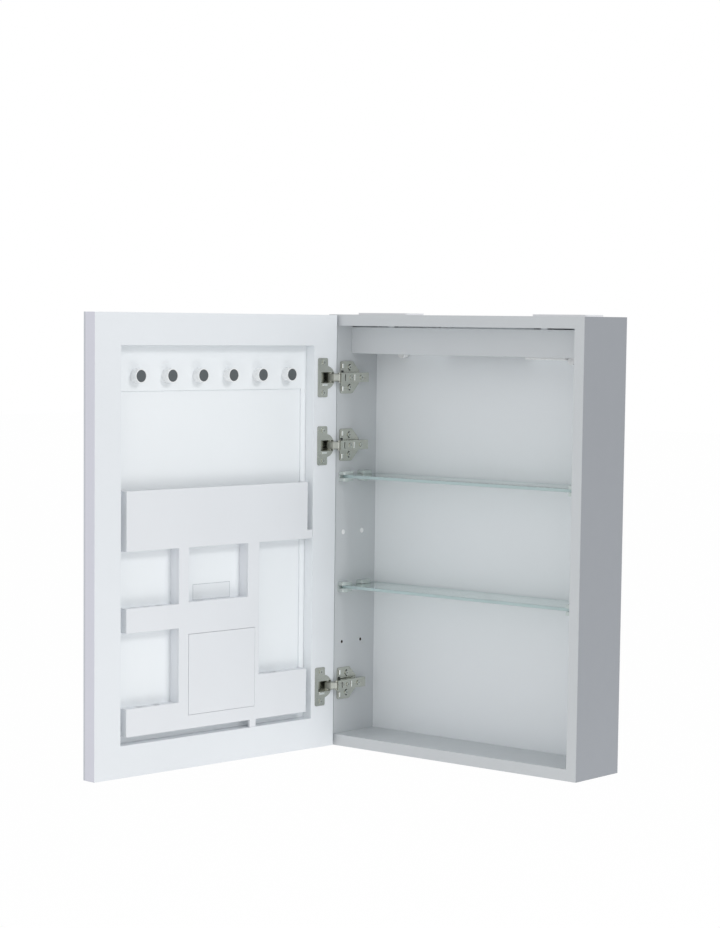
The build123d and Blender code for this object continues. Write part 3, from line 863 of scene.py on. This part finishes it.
@dataclass
class Hinges:
    """The three concealed hinges, in their four bodies.

    The details are drawn from the carcass's left front corner: depth is measured along X, setback
    along Y and height from the hinge's middle. A lever is drawn on the cup's flange instead.
    """

    edge: float = 0.4
    detail_edge: float = 0.8
    board: float = 18.0
    wing_face: float = 20.0
    pad_raise: float = 1.6
    pad_setback: Span = (9.5, 13.5)
    pad_height: Span = (14.0, 22.5)
    # Dark sheets behind the wings' slots paint the shade in the slots' open ends.
    insert_setback: Span = (26.9, 31.1)
    insert_height: Span = (10.6, 21.4)
    insert_gap: float = 0.05
    insert_thickness: float = 0.6
    web_face: float = 34.7
    ridge_raise: float = 1.0
    ridge_setback: Span = (23.0, 25.8)
    ridge_height: Span = (-5.2, 5.2)
    # A dark block beside the arm paints the shade of the hollow there.
    hollow_shade_raise: float = 1.2
    hollow_shade_setback: Span = (8.6, 12.8)
    hollow_shade_height: Span = (8.2, 11.2)
    lever_edge: float = 0.4
    lever_raise: float = 0.9
    lever_share: Span = (0.45, 0.76)
    lever_height: Span = (-13.4, -9.8)

    def build(self) -> None:
        """Make every piece of the hinges."""
        place = door_place()
        for hinge in HINGES:
            for part, finish, body in (
                    ("hinge_plate", Finish.HINGE, Body.CABINET),
                    ("hinge_arm", Finish.HINGE, Body.CABINET),
                    ("outer_link", Finish.LINK, Body.OUTER_LINKS),
                    ("inner_link", Finish.LINK, Body.INNER_LINKS),
                    ("hinge_cup", Finish.HINGE, Body.DOOR)):
                Softened(f"{hinge}_{part}", finish, self.edge).build(body)
            self.details(hinge)
            self.lever(hinge, place)
        for node in ("plate_screws", "arm_screws", "cup_screws", "arm_pins", "cup_pins", "inner_link_pins"):
            dress(node, Finish.FASTENER)

    def detail(self, name: str, face: float, thickness: float, setback: Span, height: Span,
               middle: float) -> bpy.types.Object:
        """A small rounded block on a hinge.

        Args:
            name: Name of the piece.
            face: Depth of the face that it stands on.
            thickness: How far it stands out of that face.
            setback: Its two ends along Y.
            height: Its two ends along Z.
            middle: Height of the hinge's middle, in metres.

        Returns:
            The new object.
        """
        corner = Vector((CAD_LEFT, CAD_FRONT, middle))
        low = corner + Vector((face, setback[0], height[0])) * MM
        high = corner + Vector((face + thickness, setback[1], height[1])) * MM
        return Block(low, high, self.detail_edge, ROUND_SEGMENTS).model(name)

    def details(self, hinge: str) -> None:
        """Pads on the plate's wings and a ridge across the arm, in the lighter steel that paints their
        highlights, and dark pieces that paint the shade in the wings' slots and in the hollow beside the
        arm.

        Args:
            hinge: Which hinge.
        """
        low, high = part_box(f"{hinge}_hinge_plate")
        middle = (low.z + high.z) / 2
        pads = []
        shade_sheets = []
        for side in (1, -1):
            low_end, high_end = sorted(side * end for end in self.pad_height)
            pads.append(self.detail(f"pad_{side}", self.wing_face, self.pad_raise,
                                    self.pad_setback, (low_end, high_end), middle))
            low_end, high_end = sorted(side * end for end in self.insert_height)
            shade_sheets.append(self.detail(f"insert_{side}", self.board + self.insert_gap, self.insert_thickness,
                                       self.insert_setback, (low_end, high_end), middle))
        # The pads' lighter steel paints their highlights.
        hand_over(join_pieces(pads, f"{hinge}_wing_pads"), Body.CABINET, Finish.BRIGHT)
        # Dark sheets behind the slots paint their shade.
        hand_over(join_pieces(shade_sheets, f"{hinge}_slot_inserts"), Body.CABINET, Finish.DRIVER)
        # The ridge's lighter steel paints a highlight across the arm.
        ridge = self.detail(f"{hinge}_arm_ridge", self.web_face, self.ridge_raise,
                            self.ridge_setback, self.ridge_height, middle)
        hand_over(ridge, Body.CABINET, Finish.BRIGHT)
        # A dark block paints the shade of the hollow beside the arm.
        hollow_shade = self.detail(f"{hinge}_catch", self.wing_face, self.hollow_shade_raise,
                            self.hollow_shade_setback, self.hollow_shade_height, middle)
        hand_over(hollow_shade, Body.CABINET, Finish.DRIVER)

    def lever(self, hinge: str, place: Place) -> None:
        """The short lever on the cup's flange, below its hollow, in the lighter steel that paints a
        highlight on it.

        Args:
            hinge: Which hinge.
            place: The door's frame.
        """
        low, high = place.box(f"{hinge}_hinge_cup")
        middle = (low.z + high.z) / 2
        near, far = (low.x + (high.x - low.x) * share for share in self.lever_share)
        foot, tip = (middle + height * MM for height in self.lever_height)
        bar = Block(Vector((near, high.y, foot)), Vector((far, high.y + self.lever_raise * MM, tip)),
                    self.lever_edge, ROUND_SEGMENTS)
        # The lever's lighter steel paints its highlight.
        hand_over(place.settle(bar.model(f"{hinge}_lever")), Body.DOOR, Finish.BRIGHT)


@dataclass
class Door:
    """The door leaf with its mirror, lining, pegs and organizer."""

    leaf_edge: float = 0.6
    mirror_edge: float = 0.4
    lining_edge: float = 0.4
    moulded_edge: float = 0.8
    cover_edge: float = 0.2
    peg_count: int = 6
    peg_edge_share: float = 0.5
    peg_sink: float = 1.0
    magnet_edge: float = 0.4
    magnet_rim: float = 1.2
    magnet_sink: float = 0.12
    label_edge: float = 0.05
    label_segments: int = 1
    label_rim: float = 0.9
    label_sink: float = 0.1

    def build(self) -> None:
        """Make every piece of the door."""
        place = door_place()
        along = place.turned(ALONG_X)
        leaf = Softened("door_frame", Finish.DOOR, self.leaf_edge, ROUND_SEGMENTS).build(Body.DOOR)
        paint_faces(leaf, Finish.DOOR_EDGE, along)
        # The recess's side walls take the lining's lighter white, which paints light onto them.
        paint_walls(leaf, Finish.LINING, (along, -along))
        for node in ("backing_sheet", "inner_panel"):
            Softened(node, Finish.LINING, self.lining_edge).build(Body.DOOR)
        Softened("organizer_front", Finish.ORGANIZER, self.moulded_edge, ROUND_SEGMENTS).build(Body.DOOR)
        for node in ("upper_tray_floor", "tray_ends", "left_divider", "right_divider", "left_pocket_shelf",
                     "lower_left_shelf", "middle_pocket_shelf", "right_pocket_shelf", "pocket_floors"):
            Softened(node, Finish.ORGANIZER, self.lining_edge).build(Body.DOOR)
        self.mirror(place)
        self.pegs(place)
        self.plates(place)

    def mirror(self, place: Place) -> None:
        """The mirror, with ground edges.

        Args:
            place: The door's frame.
        """
        glass = place.settle(Block(*place.box("mirror_glass"), self.mirror_edge).model("mirror_finished"))
        hand_over(glass, Body.DOOR, Finish.MIRROR, "mirror_glass")
        along = place.turned(ALONG_X)
        for facing in (along, -along, ALONG_Z, -ALONG_Z):
            paint_faces(glass, Finish.MIRROR_EDGE, facing)

    def pegs(self, place: Place) -> None:
        """The row of pegs, each with a magnet sunk in its end.

        Args:
            place: The door's frame.
        """
        low, high = place.box("magnetic_pegs")
        radius = (high.z - low.z) / 2
        seat_low, seat_high = place.box("peg_magnets")
        seat_radius = (seat_high.z - seat_low.z) / 2
        step = (high.x - low.x - 2 * radius) / (self.peg_count - 1)
        offsets = [index * step * ALONG_X for index in range(1, self.peg_count)]
        middle = (low.z + high.z) / 2
        rim = (radius - seat_radius) / MM
        first = Disc(radius, low.y, high.y, self.peg_edge_share * rim, rim, self.peg_sink)
        peg = first.model("peg", low.x + radius, middle)
        pegs = place.settle(join_pieces(copies(peg, offsets), "pegs_finished"))
        hand_over(pegs, Body.DOOR, Finish.PEG, "magnetic_pegs")
        face = seat_high.y - self.magnet_sink * MM
        cap = Disc(seat_radius, seat_low.y, face, self.magnet_edge, self.magnet_rim, self.magnet_sink)
        magnet = cap.model("magnet", low.x + radius, middle)
        magnets = place.settle(join_pieces(copies(magnet, offsets), "magnets_finished"))
        hand_over(magnets, Body.DOOR, Finish.MAGNET, "peg_magnets")

    def plates(self, place: Place) -> None:
        """The flush cover, the driver's case behind it and the bare label.

        Args:
            place: The door's frame.
        """
        cover = Block(*place.box("compartment_cover"), self.cover_edge).model("cover_finished")
        hand_over(place.settle(cover), Body.DOOR, Finish.ORGANIZER, "compartment_cover")
        case = Block(*place.box("driver_unit"), self.moulded_edge, ROUND_SEGMENTS).model("driver_finished")
        hand_over(place.settle(case), Body.DOOR, Finish.DRIVER, "driver_unit")
        plate = Block(*place.box("blank_label"), self.label_edge, self.label_segments,
                      self.label_rim, self.label_sink)
        label = place.settle(plate.model("label_finished"))
        hand_over(label, Body.DOOR, Finish.LABEL, "blank_label")
        paint_faces(label, Finish.LABEL_BORDER, place.turned(ALONG_Y), self.label_sink / 2 * MM)


@dataclass(frozen=True)
class StudioLight:
    """A large soft lamp aimed at the cabinet."""

    name: str
    place: Triple
    size: float
    power: float

    def build(self) -> None:
        """Make the lamp."""
        data = bpy.data.lights.new(self.name, "AREA")
        data.shape = "SQUARE"
        data.size = self.size
        data.energy = self.power
        lamp = bpy.data.objects.new(self.name, data)
        bpy.context.scene.collection.objects.link(lamp)
        lamp.location = self.place
        lamp.rotation_euler = Vector(self.place).to_track_quat("Z", "Y").to_euler()


@dataclass
class Studio:
    """White surroundings, soft lamps, the floor and the camera."""

    ambient: float = 0.72
    backdrop: float = 1.0
    floor_level: float = -1.35
    floor_size: float = 60.0
    floor_tone: tuple[float, float, float, float] = (0.9, 0.9, 0.9, 1.0)
    floor_roughness: float = 0.9
    floor_glow: float = 1.05
    floor_glow_share: float = 0.85
    lamps: tuple[StudioLight, ...] = (
        StudioLight("key_softbox", (3.3, -0.1, 2.3), 0.9, 36.0),
        StudioLight("front_fill", (0.9, -4.0, -0.4), 2.6, 16.0),
        StudioLight("low_fill", (1.1, -0.1, -1.0), 0.6, 3.4))
    camera_place: Triple = (2.33497, -3.11008, 0.33881)
    yaw: float = 39.987
    pitch: float = 5.292
    roll: float = 0.653
    focal_pixels: float = 2443.695
    photo_height: float = 928.0
    centre_row: float = 548.0
    sensor_width: float = 36.0

    def build(self) -> None:
        """Make the surroundings and the camera."""
        scene = bpy.context.scene
        scene.view_settings.view_transform = "Standard"
        self.world(scene)
        self.floor()
        for lamp in self.lamps:
            lamp.build()
        self.camera(scene)

    @staticmethod
    def seen(tree: bpy.types.NodeTree) -> Socket:
        """Whether a ray comes from the camera, from a reflection or through glass.

        Args:
            tree: The node tree that gets the nodes.

        Returns:
            One for such a ray, and zero for a diffuse one.
        """
        path = tree.nodes.new("ShaderNodeLightPath")
        seen = path.outputs["Is Camera Ray"]
        for ray in ("Is Glossy Ray", "Is Transmission Ray"):
            either = tree.nodes.new("ShaderNodeMath")
            either.operation = "MAXIMUM"
            tree.links.new(seen, either.inputs[0])
            tree.links.new(path.outputs[ray], either.inputs[1])
            seen = either.outputs[0]
        return seen

    def world(self, scene: bpy.types.Scene) -> None:
        """White to the camera and to reflections, softer as light.

        Args:
            scene: The scene that gets the world.
        """
        world = bpy.data.worlds.new("white_room")
        world.use_nodes = True
        nodes = world.node_tree.nodes
        links = world.node_tree.links
        background = nodes["Background"]
        background.inputs["Color"].default_value = WHITE
        strength = nodes.new("ShaderNodeMapRange")
        strength.inputs["To Min"].default_value = self.ambient
        strength.inputs["To Max"].default_value = self.backdrop
        links.new(self.seen(world.node_tree), strength.inputs["Value"])
        links.new(strength.outputs["Result"], background.inputs["Strength"])
        scene.world = world

    def floor(self) -> None:
        """A white floor that keeps the cabinet's soft shadow."""
        bpy.ops.mesh.primitive_plane_add(size=self.floor_size, location=(0.0, 0.0, self.floor_level))
        plane = bpy.context.active_object
        plane.name = "studio_floor"
        finish = bpy.data.materials.new("studio_floor")
        finish.use_nodes = True
        nodes = finish.node_tree.nodes
        links = finish.node_tree.links
        diffuse = nodes["Principled BSDF"]
        diffuse.inputs["Base Color"].default_value = self.floor_tone
        diffuse.inputs["Roughness"].default_value = self.floor_roughness
        glow = nodes.new("ShaderNodeEmission")
        glow.inputs["Strength"].default_value = self.floor_glow
        share = nodes.new("ShaderNodeMath")
        share.operation = "MULTIPLY"
        share.inputs[1].default_value = self.floor_glow_share
        mix = nodes.new("ShaderNodeMixShader")
        links.new(self.seen(finish.node_tree), share.inputs[0])
        links.new(share.outputs[0], mix.inputs["Fac"])
        links.new(diffuse.outputs["BSDF"], mix.inputs[1])
        links.new(glow.outputs["Emission"], mix.inputs[2])
        links.new(mix.outputs["Shader"], nodes["Material Output"].inputs["Surface"])
        plane.data.materials.append(finish)

    def camera(self, scene: bpy.types.Scene) -> None:
        """The camera at the photograph's viewing angle.

        Args:
            scene: The scene that gets the camera.
        """
        yaw, pitch, roll = (math.radians(angle) for angle in (self.yaw, self.pitch, self.roll))
        right = Vector((math.cos(yaw), math.sin(yaw), 0.0))
        level = Vector((-math.sin(yaw), math.cos(yaw), 0.0))
        ahead = level * math.cos(pitch) - ALONG_Z * math.sin(pitch)
        raised = ALONG_Z * math.cos(pitch) + level * math.sin(pitch)
        across = right * math.cos(roll) + raised * math.sin(roll)
        above = raised * math.cos(roll) - right * math.sin(roll)
        data = bpy.data.cameras.new("photo_camera")
        data.sensor_width = self.sensor_width
        data.lens = self.focal_pixels * data.sensor_width / self.photo_height
        data.shift_y = (self.centre_row - self.photo_height / 2) / self.photo_height
        camera = bpy.data.objects.new("photo_camera", data)
        scene.collection.objects.link(camera)
        turn = Matrix((across, above, -ahead)).transposed().to_4x4()
        camera.matrix_world = Matrix.Translation(self.camera_place) @ turn
        scene.camera = camera


def main() -> None:
    """Build the studio and every sub-assembly, in order."""
    logging.basicConfig(level=logging.INFO, format="%(name)s: %(message)s")
    Studio().build()
    Carcass().build()
    Hinges().build()
    Door().build()
    bpy.context.view_layer.update()


if __name__ == "__main__":
    main()
